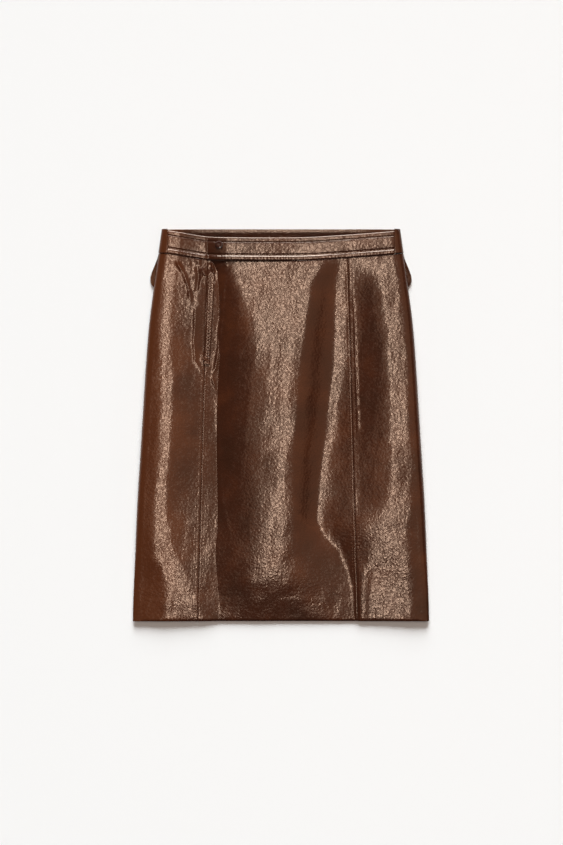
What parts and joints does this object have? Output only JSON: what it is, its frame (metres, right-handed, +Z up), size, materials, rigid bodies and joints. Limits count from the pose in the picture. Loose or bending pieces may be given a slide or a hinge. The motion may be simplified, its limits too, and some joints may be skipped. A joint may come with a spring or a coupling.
{
  "type": "leather skirt",
  "caption": "Brown glossy leather midi skirt laid flat, with a buttoned waistband, a lapped fly in its left long front seam, and a small rounded tab at each side.",
  "frame": {"origin": "on the surface that the skirt lies on, under the middle of its bounding box", "axes": "+Y towards the waist, +Z up off the surface and out of the skirt's front, +X to the viewer's right when the front is seen with the waist at the top"},
  "size_m": [0.4568, 0.6041, 0.0187],
  "materials": {
    "leather": "glossy waxed aniline, fine grain",
    "button": "polished",
    "zip_tape": "matt woven tape",
    "zip_metal": "satin"
  },
  "bodies": {
    "root": {"front_centre_panel": "leather", "front_side_panel_left": "leather", "front_side_panel_right": "leather", "back_panel": "leather", "waistband_front": "leather", "waistband_underlap": "leather", "waistband_back": "leather", "fly_lap": "leather", "side_tab_left": "leather", "side_tab_right": "leather", "waist_button": "button", "zip_tape": "zip_tape", "zip_slider": "zip_metal"}
  },
  "joints": []
}
